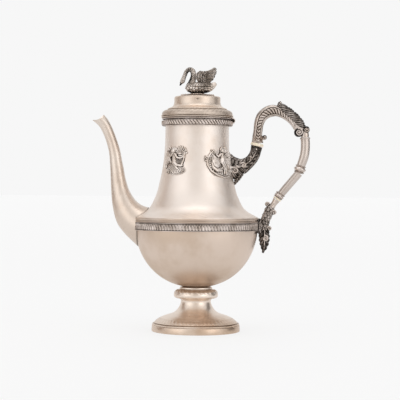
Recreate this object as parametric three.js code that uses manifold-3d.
// A silver coffee pot: a round belly on a spool foot, a waisted upper body, a swept spout, a hinged lid with
// a swan finial, and a cast scroll handle that two bone discs keep cool.
// Millimetres, +Z up. The pot stands on Z = 0, its spout points to -X and its handle to +X. Everything is
// drawn about the pot's own axis, and the last lines shift it so that the footprint's middle is the origin.
import * as THREE from "three";
import { mergeVertices } from "three/addons/utils/BufferGeometryUtils.js";
import Module from "manifold-3d";

const wasm = await Module();
wasm.setup();

// ---------------------------------------------------------------- driving dimensions
const FACETS = 24; // round the pot
const WALL = 0.9; // raised sheet silver
const SEAM = 0.1; // solder line between turned pieces that share the pot's axis
const FIT = 0.3; // gap where a cast piece is cut to its neighbour

const FOOT_RADIUS = 49.6;
const FOOT_RING_HEIGHT = 7.4;
const STEM_TOP = 37.2;
const KNOP_RADIUS = 24.6;
const KNOP_TOP = 47.6;
const BOWL_BOTTOM = 50.2;
const BOWL_RADIUS = 69.5;
const BOWL_CENTRE = 120; // height of the belly's widest level
const BOWL_DEPTH = 70.5; // vertical half axis of the belly's curve
const BOWL_FULLNESS = 0.46; // 0.5 would be an ellipse; less is fuller towards the foot
const BELT = { low: 114.4, high: 123.4, radius: 72 };
const BEAD = { low: 123.5, high: 128.3, radius: 71.4 };
const BODY_SEAM = 121; // where the bowl and the upper body meet, behind the belt
const NECK_RADIUS = 36;
const NECK_TOP = 240.4;
const RIM = { low: 231.6, high: 240.5, radius: 40.2 };
const LID = { low: 241, flangeTop: 250.2, radius: 40.9, collarRadius: 26.6, top: 266.3 };
const BEZEL = { radius: 34, low: 233, high: 247.4 };
const HINGE = { x: 40, z: 237.8, radius: 2.9, pin: 1.1, bore: 1.35, half: 11, lidHalf: 4, gap: 0.4 };
const FINIAL = { plateRadius: 19, plateHeight: 1.2, baseRadius: 9.5, baseHeight: 1.2, stud: 1.8, bore: 2.2 };
const STRAINER = { rows: [[102, 4], [109, 5]], pitch: 7, hole: 1.75 };

// ---------------------------------------------------------------- colours and finishes
const silver = new THREE.MeshStandardMaterial({ color: 0xd9cabf, roughness: 0.28, metalness: 1 });
const castSilver = new THREE.MeshStandardMaterial({ color: 0x8f857f, roughness: 0.42, metalness: 1 });
const bone = new THREE.MeshStandardMaterial({ color: 0xf3e6d2, roughness: 0.45, metalness: 0 });

// ---------------------------------------------------------------- helpers
// A closed mesh as a manifold-3d solid, turned to face outwards.
function solid(geometry) {
  const bare = new THREE.BufferGeometry();
  bare.setAttribute("position", geometry.getAttribute("position"));
  bare.setIndex(geometry.index);
  const merged = mergeVertices(bare, 1e-4);
  const triVerts = new Uint32Array(merged.index.array);
  const vertProperties = new Float32Array(merged.attributes.position.array);
  const made = new wasm.Manifold(new wasm.Mesh({ numProp: 3, vertProperties, triVerts }));
  if (made.volume() >= 0) return made;
  triVerts.reverse();
  return new wasm.Manifold(new wasm.Mesh({ numProp: 3, vertProperties, triVerts }));
}

function geometryOf(made) {
  const mesh = made.getMesh();
  return new THREE.BufferGeometry()
    .setAttribute("position", new THREE.BufferAttribute(new Float32Array(mesh.vertProperties), 3))
    .setIndex(new THREE.BufferAttribute(new Uint32Array(mesh.triVerts), 1));
}

// A body of revolution about Z. The outline is a list of [radius, height]; it closes on itself,
// unless both of its ends are on the axis.
function turned(outline, facets = FACETS) {
  const points = outline.map(([r, z]) => new THREE.Vector2(r, z));
  const onAxis = points[0].x === 0 && points.at(-1).x === 0;
  if (!onAxis) points.push(points[0].clone());
  return solid(new THREE.LatheGeometry(points, facets).rotateX(Math.PI / 2));
}

// A smooth line through a few [radius, height] points.
function smooth(points, pieces) {
  const curve = new THREE.SplineCurve(points.map(([r, z]) => new THREE.Vector2(r, z)));
  return curve.getPoints(pieces).map((p) => [p.x, p.y]);
}

// A line moved sideways; a positive distance moves a line that climbs outside the pot towards the axis.
function moved(line, distance) {
  return line.map(([r, z], i) => {
    const [r0, z0] = line[Math.max(0, i - 1)];
    const [r1, z1] = line[Math.min(line.length - 1, i + 1)];
    const length = Math.hypot(r1 - r0, z1 - z0);
    return [Math.max(0, r - (distance * (z1 - z0)) / length), z + (distance * (r1 - r0)) / length];
  });
}

// The closed outline of a sheet whose outside is the line.
function sheet(line, wall = WALL) {
  return [...line, ...moved(line, wall).reverse()];
}

// A solid through a row of rings of points, closed at both ends.
function lofted(rings) {
  const sides = rings[0].length;
  const points = rings.flat();
  const index = [];
  rings.slice(1).forEach((_, i) => {
    for (let k = 0; k < sides; k += 1) {
      const a = i * sides + k;
      const b = i * sides + ((k + 1) % sides);
      index.push(a, b, a + sides, b, b + sides, a + sides);
    }
  });
  const last = (rings.length - 1) * sides;
  for (let k = 1; k < sides - 1; k += 1) {
    index.push(0, k + 1, k);
    index.push(last, last + k, last + k + 1);
  }
  return solid(new THREE.BufferGeometry().setFromPoints(points).setIndex(index));
}

// A solid swept along a curve in the XZ plane through stations of
// [x, z, width in that plane, width across it]. grow makes it thicker all round, or thinner.
function swept(stations, { sides = 8, steps = 2 * (stations.length - 1), grow = 0 } = {}) {
  const path = new THREE.CatmullRomCurve3(stations.map(([x, z]) => new THREE.Vector3(x, 0, z)));
  const sizes = new THREE.CatmullRomCurve3(stations.map(([, , w, d]) => new THREE.Vector3(w, d, 0)));
  const rings = [];
  for (let i = 0; i <= steps; i += 1) {
    const centre = path.getPoint(i / steps);
    const along = path.getTangent(i / steps);
    const size = sizes.getPoint(i / steps);
    const across = new THREE.Vector3(-along.z, 0, along.x);
    const ring = [];
    for (let k = 0; k < sides; k += 1) {
      const angle = (2 * Math.PI * k) / sides;
      const point = centre.clone().addScaledVector(across, Math.cos(angle) * (size.x / 2 + grow));
      point.y += Math.sin(angle) * (size.y / 2 + grow);
      ring.push(point);
    }
    rings.push(ring);
  }
  return lofted(rings);
}

// A cylinder between two points.
function rod(from, to, radius, facets = 12) {
  const start = new THREE.Vector3(...from);
  const reach = new THREE.Vector3(...to).sub(start);
  const geometry = new THREE.CylinderGeometry(radius, radius, reach.length(), facets);
  const up = new THREE.Vector3(0, 1, 0);
  geometry.applyQuaternion(new THREE.Quaternion().setFromUnitVectors(up, reach.clone().normalize()));
  geometry.translate(...start.addScaledVector(reach, 0.5).toArray());
  return solid(geometry);
}

// A box given by its lowest and highest corners.
function block([x0, y0, z0], [x1, y1, z1]) {
  const geometry = new THREE.BoxGeometry(x1 - x0, y1 - y0, z1 - z0);
  return solid(geometry.translate((x0 + x1) / 2, (y0 + y1) / 2, (z0 + z1) / 2));
}

// What is left of a solid between two heights.
function between(low, high, made) {
  return made.intersect(block([-200, -200, low], [200, 200, high]));
}

// A prism along X from x0 to x1, whose outline is a list of [y, z].
function prismAlongX(outline, x0, x1) {
  const shape = new THREE.Shape(outline.map(([y, z]) => new THREE.Vector2(y, z)));
  const geometry = new THREE.ExtrudeGeometry(shape, { depth: x1 - x0, bevelEnabled: false });
  const axes = new THREE.Matrix4().makeBasis(
    new THREE.Vector3(0, 1, 0),
    new THREE.Vector3(0, 0, 1),
    new THREE.Vector3(1, 0, 0),
  );
  return solid(geometry.applyMatrix4(axes).translate(x0, 0, 0));
}

// ---------------------------------------------------------------- outlines of the pot's body
const footLine = [
  [48.2, FOOT_RING_HEIGHT + SEAM],
  ...smooth([
    [46.6, 9.6], [41.5, 13.6], [33, 17.4], [23.5, 21], [18, 27.4], [16.2, 32.4], [17.4, STEM_TOP],
  ], 6),
];

// The belly from its flat seat up to the seam, by formula.
function bowlRadius(z) {
  const t = (BOWL_CENTRE - z) / BOWL_DEPTH;
  return BOWL_RADIUS * (1 - t * t) ** BOWL_FULLNESS;
}
const BOWL_STEPS = 7;
const bowlLine = [[0, BOWL_BOTTOM]];
for (let i = 0; i <= BOWL_STEPS; i += 1) {
  const z = BOWL_BOTTOM + 0.4 + (BODY_SEAM - BOWL_BOTTOM - 0.4) * (i / BOWL_STEPS) ** 1.7;
  bowlLine.push([bowlRadius(z), z]);
}

const shoulderLine = smooth([
  [70.2, 128.6], [63.6, 131.6], [55.8, 136.2], [50, 143], [46, 152], [42.8, 162.5], [40, 175], [37.9, 189],
  [36.6, 205], [NECK_RADIUS, 220], [NECK_RADIUS, NECK_TOP],
], 9);
const upperLine = [
  [BOWL_RADIUS, BODY_SEAM + SEAM], [BOWL_RADIUS, BELT.high], [70, BEAD.high], ...shoulderLine.slice(1),
];

// Everything inside the pot's outer surface, made larger by a gap: the cutter for what is soldered on.
function potOutside(gap) {
  const belt = [[BELT.radius, BELT.low - gap], [BELT.radius, BEAD.high]];
  const line = [...bowlLine.slice(1, -1), ...belt, ...shoulderLine.slice(1)];
  return turned([[0, BOWL_BOTTOM - gap], ...moved(line, -gap), [0, NECK_TOP + gap]]);
}

const pieces = new Map();
const lidPieces = new Map();

// ---------------------------------------------------------------- foot
pieces.set("foot_ring", [turned([
  [47.2, 0], [FOOT_RADIUS, 0], [FOOT_RADIUS - 0.6, FOOT_RING_HEIGHT], [47.2, FOOT_RING_HEIGHT],
]), silver]);
// The foot's wall is one raised sheet. Its solid is parted where the dome turns into the stem, so that each
// half is a simple ring around its hollow.
const FOOT_PARTING = 21;
const footWall = turned(sheet(footLine));
pieces.set("foot_dome", [between(FOOT_RING_HEIGHT + SEAM, FOOT_PARTING, footWall), silver]);
pieces.set("foot_stem", [between(FOOT_PARTING + SEAM, STEM_TOP, footWall), silver]);
pieces.set("stem_knop", [turned([
  [16.4, STEM_TOP + SEAM], [20, STEM_TOP + SEAM], [23.6, STEM_TOP + 1.6], [KNOP_RADIUS, STEM_TOP + 4.4],
  [KNOP_RADIUS - 0.6, STEM_TOP + 7.6], [20.6, KNOP_TOP], [16.4, KNOP_TOP],
]), silver]);
pieces.set("bowl_washer", [turned([
  [13, KNOP_TOP + SEAM], [17, KNOP_TOP + SEAM], [17.4, 48.9], [17, BOWL_BOTTOM - SEAM],
  [13, BOWL_BOTTOM - SEAM],
]), silver]);

// ---------------------------------------------------------------- body
// The bowl's wall is drilled behind the spout, which strains the coffee.
let bowl = turned(sheet(bowlLine));
for (const [z, count] of STRAINER.rows) {
  for (let i = 0; i < count; i += 1) {
    const y = (i - (count - 1) / 2) * STRAINER.pitch;
    bowl = bowl.subtract(rod([-80, y, z], [-50, y, z], STRAINER.hole, 8));
  }
}
pieces.set("bowl", [bowl, silver]);
pieces.set("upper_body", [turned(sheet(upperLine)), silver]);
pieces.set("belt_band", [turned([
  [BOWL_RADIUS + SEAM, BELT.low], [BELT.radius, BELT.low], [BELT.radius, BELT.high],
  [BOWL_RADIUS + SEAM, BELT.high],
]), castSilver]);
pieces.set("belt_bead", [turned([
  [70.2, BEAD.low], [BEAD.radius - 0.5, BEAD.low], [BEAD.radius, 125.9], [BEAD.radius - 0.6, BEAD.high],
  [70.2, BEAD.high],
]), silver]);

// The rim band is cut away where the hinge is let into it.
const recessHalf = HINGE.half + 0.4;
const hingeRecess = block([NECK_RADIUS - 6, -recessHalf, RIM.low - 1], [50, recessHalf, RIM.high + 1]);
pieces.set("rim_band", [turned([
  [NECK_RADIUS + SEAM, RIM.low], [38.6, RIM.low + 0.3], [RIM.radius, RIM.low + 3],
  [RIM.radius, RIM.high - 3], [39, RIM.high], [NECK_RADIUS + SEAM, RIM.high],
]).subtract(hingeRecess), castSilver]);

// ---------------------------------------------------------------- spout
// Stations from the root, inside the pot, out to the lip: [x, z, width in the plane, width across].
const spoutStations = [
  [-46, 108, 46, 48], [-62, 118, 44.5, 48], [-72.5, 129.4, 38, 40], [-79.9, 140.6, 29.2, 30.5],
  [-85.3, 154.2, 21.4, 22.5], [-88.6, 169.3, 16.8, 17.4], [-90.7, 184.8, 14, 14.2],
  [-92.8, 201.1, 12.3, 12.3],
  [-96.7, 214.9, 11.7, 11.6], [-101, 225.2, 11.7, 11.6], [-106.6, 234.2, 12.1, 12],
  [-114.5, 242.5, 14.2, 13.4],
];
const spoutLip = { tip: [-118.3, 237], back: [-105.4, 243.6] };
const lipRise = Math.atan2(spoutLip.back[1] - spoutLip.tip[1], spoutLip.back[0] - spoutLip.tip[0]);
const LIP_CUTTER = 60; // side of the cube that trims the mouth
const lipCutter = solid(new THREE.BoxGeometry(LIP_CUTTER, LIP_CUTTER, LIP_CUTTER)
  .translate(0, 0, LIP_CUTTER / 2)
  .rotateY(-lipRise)
  .translate((spoutLip.tip[0] + spoutLip.back[0]) / 2, 0, (spoutLip.tip[1] + spoutLip.back[1]) / 2));
const spoutOptions = { sides: 12, steps: 14 };
const bore = swept(spoutStations, { ...spoutOptions, grow: -WALL });
const spoutTube = swept(spoutStations, spoutOptions)
  .subtract(bore)
  .subtract(potOutside(FIT))
  .subtract(lipCutter);
// The spout is one tube too. Its solid is parted below its upper bend and again near its root.
const SPOUT_PARTINGS = [158, 204];
pieces.set("spout_base", [between(90, SPOUT_PARTINGS[0], spoutTube), silver]);
pieces.set("spout_tube", [between(SPOUT_PARTINGS[0] + FIT, SPOUT_PARTINGS[1], spoutTube), silver]);
pieces.set("spout_tip", [between(SPOUT_PARTINGS[1] + FIT, 260, spoutTube), silver]);

// ---------------------------------------------------------------- relief plaques on the neck and the belt
// A plate that lies on the wall on one side, inside an outline of [half width, height].
function plaque(ring, side, halfOutline) {
  const outline = [...halfOutline, ...halfOutline.map(([y, z]) => [-y, z]).reverse()];
  const reach = side > 0 ? [5, 90] : [-90, -5];
  return ring.intersect(prismAlongX(outline, ...reach));
}
const PLAQUE_THICKNESS = 1.5;
const plaqueLine = shoulderLine.filter(([, z]) => z > 165 && z < 222);
const plaqueFace = moved(plaqueLine, -FIT - PLAQUE_THICKNESS);
const plaqueRing = turned([...moved(plaqueLine, -FIT), ...plaqueFace.reverse()]);
pieces.set("spout_plaque", [plaque(plaqueRing, -1, [
  [6, 173], [20, 172.5], [33, 177], [36.4, 184], [34.5, 192], [36, 203], [31, 210], [18, 210.5], [6, 207],
]), castSilver]);
pieces.set("handle_escutcheon", [plaque(plaqueRing, 1, [
  [8, 174], [24, 175], [33, 180.5], [37, 190], [36.5, 198], [30, 205], [20, 207.5], [8, 207],
]), castSilver]);
const PAD = { low: 111, high: 127.4, thickness: 1.3, half: 20 };
const padRing = turned([
  [BELT.radius + FIT, PAD.low], [BELT.radius + FIT + PAD.thickness, PAD.low],
  [BELT.radius + FIT + PAD.thickness, PAD.high], [BELT.radius + FIT, PAD.high],
]);
pieces.set("handle_pad", [plaque(padRing, 1, [
  [PAD.half - 7, PAD.low - 1], [PAD.half, PAD.low + 5], [PAD.half, PAD.high - 5],
  [PAD.half - 6, PAD.high + 1],
]), castSilver]);

// ---------------------------------------------------------------- handle
// The two bone discs: centre, the direction in which the handle runs on, and their sizes.
const UPPER_DISC = {
  at: [67.9, 211.2], along: [0.19, 0.982], radius: 7.4, thickness: 3.4, tenon: 2.6, reach: 8,
};
const LOWER_DISC = {
  at: [91.2, 150.3], along: [-0.55, -0.835], radius: 5.6, thickness: 2.2, tenon: 2, reach: 7,
};
const PIN_RADIUS = 0.8;

// A point on a disc's axis, at a distance from its middle.
const on = (disc, distance) => [
  disc.at[0] + disc.along[0] * distance, 0, disc.at[1] + disc.along[1] * distance,
];
const station = (point, width, depth) => [point[0], point[2], width, depth];

// The slice of space that a disc takes up between its two neighbours, with their gaps.
function slice(disc) {
  const half = disc.thickness / 2 + FIT;
  return rod(on(disc, -half), on(disc, half), 14);
}

// The blind hole that a disc's tenon enters, on one side of the disc, and the holes for its two cross pins.
const tenonHole = (disc, side) => rod(on(disc, 0), on(disc, side * (disc.reach + 0.6)), disc.tenon + FIT);
const PIN_DISTANCE = 5.2;
const pinAt = (disc, side) => on(disc, side * PIN_DISTANCE);
function crossRod(point, half, radius) {
  return rod([point[0], -half, point[2]], [point[0], half, point[2]], radius, 8);
}
const pinHole = (disc, side) => crossRod(pinAt(disc, side), 20, PIN_RADIUS + FIT);

function boneDisc(disc) {
  const half = disc.thickness / 2;
  return rod(on(disc, -half), on(disc, half), disc.radius, 16)
    .add(rod(on(disc, -disc.reach), on(disc, disc.reach), disc.tenon))
    .subtract(pinHole(disc, 1))
    .subtract(pinHole(disc, -1));
}
pieces.set("insulator_upper", [boneDisc(UPPER_DISC), bone]);
pieces.set("insulator_lower", [boneDisc(LOWER_DISC), bone]);

// The leafy arm from the escutcheon to the upper disc.
const socketCutter = turned([
  [0, 160], ...moved(plaqueLine, -2 * FIT - PLAQUE_THICKNESS), [0, 225],
]);
pieces.set("handle_socket_upper", [swept([
  [34, 184.4, 33, 21], [43.6, 185.2, 23.5, 17], [49.5, 187.4, 16.8, 14], [56, 191.4, 13.4, 12.6],
  [62.6, 198.2, 13.2, 12.6], station(on(UPPER_DISC, 0), 13.6, 13),
]).subtract(socketCutter).subtract(slice(UPPER_DISC)).subtract(tenonHole(UPPER_DISC, -1))
  .subtract(pinHole(UPPER_DISC, -1)), castSilver]);

// The C-scroll with its inner curl, the volutes that it ends in and the root of the grip: one casting.
const scrollStations = [
  station(on(UPPER_DISC, 0), 13.8, 13), [67.8, 220.5, 12.2, 12], [68.1, 232.5, 11, 11.4],
  [74.2, 244.6, 12.4, 11.4], [84, 249.9, 13, 11.4], [92, 248.4, 10.4, 11], [99.6, 243.4, 6.6, 10],
  [106.6, 237.6, 5.6, 9.6], [111.6, 231, 5.6, 9.4], [114.4, 226.6, 5.6, 9],
];
const volutes = (grow) => rod([115, -5.5 - grow, 225.6], [115, 5.5 + grow, 225.6], 5.1 + grow, 16)
  .add(rod([123.8, -5 - grow, 228.6], [123.8, 5 + grow, 228.6], 3.9 + grow, 14))
  .add(block([115 - grow, -4.4 - grow, 224 - grow], [124 + grow, 4.4 + grow, 231 + grow]));
const GRIP_TOP = 219.6;
const scroll = swept(scrollStations)
  .add(volutes(0))
  .add(rod([121.2, 0, 226], [122, 0, GRIP_TOP + 1.1], 4.4))
  .add(rod([76.4, -4, 219.4], [76.4, 4, 219.4], 2.7))
  .add(block([70, -3.6, 217.4], [76.4, 3.6, 220.6]));
pieces.set("handle_scroll", [scroll
  .subtract(slice(UPPER_DISC))
  .subtract(tenonHole(UPPER_DISC, 1))
  .subtract(pinHole(UPPER_DISC, 1)), castSilver]);

// The acanthus leaf on the scroll's back. It stops short of the volutes.
const scrollClearance = swept(scrollStations, { grow: FIT }).add(volutes(FIT));
pieces.set("handle_leaf", [swept([
  [91.2, 256.6, 5, 6], [94.4, 255, 8.4, 9.4], [99.4, 251.2, 8.8, 11.4], [105.6, 246.6, 8.4, 11.6],
  [111.9, 241.2, 8, 11.2], [116.8, 235.8, 7.6, 10.6], [118.4, 233.4, 7, 10],
]).subtract(scrollClearance), castSilver]);

// The hollow grip in two tubes, with a ringed knop between them.
const KNOP = { at: [116.6, 184], along: [-0.264, -0.964], thickness: 8.8, radius: 6.9 };
const knopHalf = KNOP.thickness / 2;

// A hollow tube's bore has to run out through both of its ends, so it is cut a little longer than the tube.
function hollowTube(stations) {
  const [first, second] = stations;
  const [last, before] = [stations.at(-1), stations.at(-2)];
  const extend = (end, next) => {
    const length = Math.hypot(end[0] - next[0], end[1] - next[1]);
    return [end[0] + (end[0] - next[0]) / length, end[1] + (end[1] - next[1]) / length, end[2], end[3]];
  };
  const long = [extend(first, second), ...stations, extend(last, before)];
  return swept(stations).subtract(swept(long, { grow: -WALL }));
}
pieces.set("handle_grip_upper", [hollowTube([
  [122.1, GRIP_TOP, 10.6, 10.6], [122.5, 212, 10.8, 10.8], [122.2, 204.5, 10.8, 10.8],
  [120.6, 196.4, 10.8, 10.8], station(on(KNOP, -2), 10.4, 10.4),
]).subtract(slice(KNOP)), silver]);
pieces.set("handle_knop", [rod(on(KNOP, -knopHalf), on(KNOP, knopHalf), 6.1, 16)
  .add(rod(on(KNOP, -2), on(KNOP, 2), KNOP.radius, 16))
  .subtract(rod(on(KNOP, -9), on(KNOP, 9), 3.6, 12)), castSilver]);
pieces.set("handle_grip_lower", [hollowTube([
  station(on(KNOP, 2), 9.6, 9.6), [111.8, 175.4, 9.5, 9.5], [105, 167.4, 9.4, 9.4], [98.6, 159.8, 9.2, 9.2],
  station(on(LOWER_DISC, 0), 8.6, 8.6),
]).subtract(slice(KNOP)).subtract(slice(LOWER_DISC)).subtract(pinHole(LOWER_DISC, -1)), silver]);
pieces.set("handle_collar", [rod(on(LOWER_DISC, -6.4), on(LOWER_DISC, -1.6), 6, 14)
  .subtract(rod(on(LOWER_DISC, -12), on(LOWER_DISC, 2), 5.05, 14))
  .subtract(pinHole(LOWER_DISC, -1)), castSilver]);

// The leafy bracket from the lower disc down to the pad on the belt, and the leaf that hangs below it.
const padFace = BELT.radius + 2 * FIT + PAD.thickness;
const padClearance = turned([[0, 100], [padFace, 100], [padFace, 132], [0, 132]]);
pieces.set("handle_bracket", [swept([
  station(on(LOWER_DISC, 0), 8.8, 8.8), [87, 144.2, 8, 8], [83.2, 138, 10.6, 9.4], [79.8, 131.8, 10.2, 9.4],
  [77.4, 126, 9.8, 9.6], [76.6, 120.4, 9.6, 10], [77, 114.8, 11, 11],
]).subtract(padClearance).subtract(slice(LOWER_DISC)).subtract(tenonHole(LOWER_DISC, 1))
  .subtract(pinHole(LOWER_DISC, 1)), castSilver]);
pieces.set("handle_leaf_drop", [swept([
  [77.2, 114.3, 11.4, 11.4], [77, 107.4, 13.4, 12.6], [76.6, 99.6, 11.6, 12], [76, 93.4, 7, 8],
  [75.4, 88.9, 1.6, 2],
]).subtract(potOutside(FIT)).subtract(padClearance), castSilver]);
[["upper", UPPER_DISC, 7.2], ["lower", LOWER_DISC, 5.4]].forEach(([level, disc, half]) => {
  pieces.set(`handle_pin_${level}_a`, [crossRod(pinAt(disc, -1), half, PIN_RADIUS), silver]);
  pieces.set(`handle_pin_${level}_b`, [crossRod(pinAt(disc, 1), half, PIN_RADIUS), silver]);
});

// ---------------------------------------------------------------- lid hinge
// A knuckle between two stations on the pin, with the leaf that ties it to the neck or to the lid.
const neckClearance = turned([
  [0, 225], [NECK_RADIUS + SEAM, 225], [NECK_RADIUS + SEAM, NECK_TOP + SEAM], [0, NECK_TOP + SEAM],
]);
function knuckle(y0, y1, leaf) {
  const barrel = rod([HINGE.x, y0, HINGE.z], [HINGE.x, y1, HINGE.z], HINGE.radius, 16);
  return barrel.add(block([leaf[0], y0, leaf[1]], [leaf[2], y1, leaf[3]]))
    .subtract(rod([HINGE.x, y0 - 1, HINGE.z], [HINGE.x, y1 + 1, HINGE.z], HINGE.bore))
    .subtract(neckClearance);
}
const rimLeaf = [33, 232, HINGE.x, HINGE.z];
const lidLeaf = [38.2, HINGE.z, 41.6, LID.low - SEAM];
const outerStart = HINGE.lidHalf + HINGE.gap;
pieces.set("hinge_knuckle_front", [knuckle(-HINGE.half, -outerStart, rimLeaf), silver]);
pieces.set("hinge_knuckle_back", [knuckle(outerStart, HINGE.half, rimLeaf), silver]);
pieces.set("hinge_pin", [rod([HINGE.x, -HINGE.half - 0.3, HINGE.z], [HINGE.x, HINGE.half + 0.3, HINGE.z],
  HINGE.pin), silver]);
lidPieces.set("hinge_knuckle_lid", [knuckle(-HINGE.lidHalf, HINGE.lidHalf, lidLeaf), silver]);

// ---------------------------------------------------------------- lid
const flangeLine = [[39.9, LID.low], ...smooth([[LID.radius - 0.2, 242.2], [LID.radius, 244], [39.4, 246.4],
  [36, 248.4], [30.8, LID.flangeTop]], 5)];
const collarLine = smooth([[30.4, LID.flangeTop + SEAM], [28.2, 253.2], [LID.collarRadius + 0.2, 257],
  [LID.collarRadius - 0.3, 262], [25.8, 265.2], [24.6, LID.top]], 5);
lidPieces.set("lid_flange", [between(LID.low, LID.flangeTop, turned(sheet(flangeLine))), silver]);
lidPieces.set("lid_collar", [between(LID.flangeTop + SEAM, LID.top, turned(sheet(collarLine))), silver]);
lidPieces.set("lid_top", [turned([
  [FINIAL.bore, LID.top - 1.1], [23.2, LID.top - 1.1], [23.2, LID.top], [FINIAL.bore, LID.top],
]), silver]);
lidPieces.set("lid_bezel", [turned([
  [BEZEL.radius - WALL, BEZEL.low], [BEZEL.radius, BEZEL.low], [BEZEL.radius, BEZEL.high],
  [BEZEL.radius - WALL, BEZEL.high],
]), silver]);

// ---------------------------------------------------------------- finial
const plateTop = LID.top + SEAM + FINIAL.plateHeight;
const swanSeat = plateTop + SEAM + FINIAL.baseHeight;
lidPieces.set("finial_plate", [turned([
  [FINIAL.bore, LID.top + SEAM], [FINIAL.plateRadius, LID.top + SEAM], [FINIAL.plateRadius - 2, plateTop],
  [FINIAL.bore, plateTop],
], 24), castSilver]);
lidPieces.set("finial_base", [turned([
  [FINIAL.bore, plateTop + SEAM], [FINIAL.baseRadius, plateTop + SEAM], [FINIAL.baseRadius - 1.5, swanSeat],
  [FINIAL.bore, swanSeat],
], 24), castSilver]);
const STUD = { low: 258, high: 271.5 };
lidPieces.set("finial_stud", [rod([0, 0, STUD.low], [0, 0, STUD.high], FINIAL.stud), silver]);
lidPieces.set("finial_nut", [rod([0, 0, 261.6], [0, 0, 264.9], 4.6, 6)
  .subtract(rod([0, 0, 260], [0, 0, 266], FINIAL.bore)), silver]);

// The swan's breast, back and tail in one casting with its neck and bowed head.
const torsoStations = [
  [-12.2, 277, 4, 4], [-7.4, 274.9, 10.4, 10.6], [0.6, 274.8, 11.4, 13.4], [8.6, 275.2, 9.8, 12],
  [14.6, 277, 6, 8.4], [19.9, 279.4, 1.8, 4],
];
const swanTorso = swept(torsoStations, { sides: 10 });
const swanNeck = swept([
  [-8.4, 277, 8, 7], [-6.4, 283.2, 5.4, 5.2], [-5.4, 288.8, 4.2, 4.2], [-6, 293.4, 4.2, 4.2],
  [-9, 295.9, 4.2, 4.2], [-12, 294, 4.2, 4.2], [-14, 289.7, 4.2, 4.2], [-15.5, 285.3, 4.6, 4.6],
  [-17, 282, 5, 5], [-18.6, 279.5, 3.2, 3.6], [-20.2, 277.4, 1.4, 2],
], { sides: 8 });
const swanBed = block([-40, -20, 250], [40, 20, swanSeat + SEAM]);
lidPieces.set("swan_body", [swanTorso.add(swanNeck)
  .subtract(swanBed)
  .subtract(rod([0, 0, 260], [0, 0, STUD.high + FIT], FINIAL.bore)), castSilver]);

// One raised wing: a cupped plate that leans out from the back.
const wingOutline = [
  [-2.5, 288.5], [0.6, 292.7], [6.8, 293.8], [12.5, 294.2], [20.4, 297], [20.6, 290.8], [18.6, 285.7],
  [14.2, 281.4], [6.8, 279.8], [1.6, 281.6], [-1.4, 284.6],
];
const WING = { thickness: 1.8, lean: 0.34, foot: 4.6 };
const wingFoot = 280;
function wing(side) {
  const shape = new THREE.Shape(wingOutline.map(([x, z]) => new THREE.Vector2(x, z - wingFoot)));
  const plate = new THREE.ExtrudeGeometry(shape, { depth: WING.thickness, bevelEnabled: false })
    .rotateX(Math.PI / 2)
    .translate(0, WING.thickness / 2, 0)
    .rotateX(-side * WING.lean)
    .translate(0, side * WING.foot, wingFoot);
  return solid(plate).subtract(swept(torsoStations, { sides: 10, grow: FIT }));
}
lidPieces.set("swan_wing_front", [wing(-1), castSilver]);
lidPieces.set("swan_wing_back", [wing(1), castSilver]);

// ---------------------------------------------------------------- assembly
function group(name, contents) {
  const made = new THREE.Group();
  made.name = name;
  for (const [node, [shape, material]] of contents) {
    const mesh = new THREE.Mesh(geometryOf(shape), material);
    mesh.name = node;
    made.add(mesh);
  }
  return made;
}
const coffeePot = new THREE.Group();
coffeePot.add(group("pot", pieces), group("lid", lidPieces));

// The footprint's middle, between the spout's tip and the back of the handle, is the origin.
const box = new THREE.Box3().setFromObject(coffeePot);
coffeePot.children.forEach((child) => child.position.setX(-(box.min.x + box.max.x) / 2));

export default coffeePot;
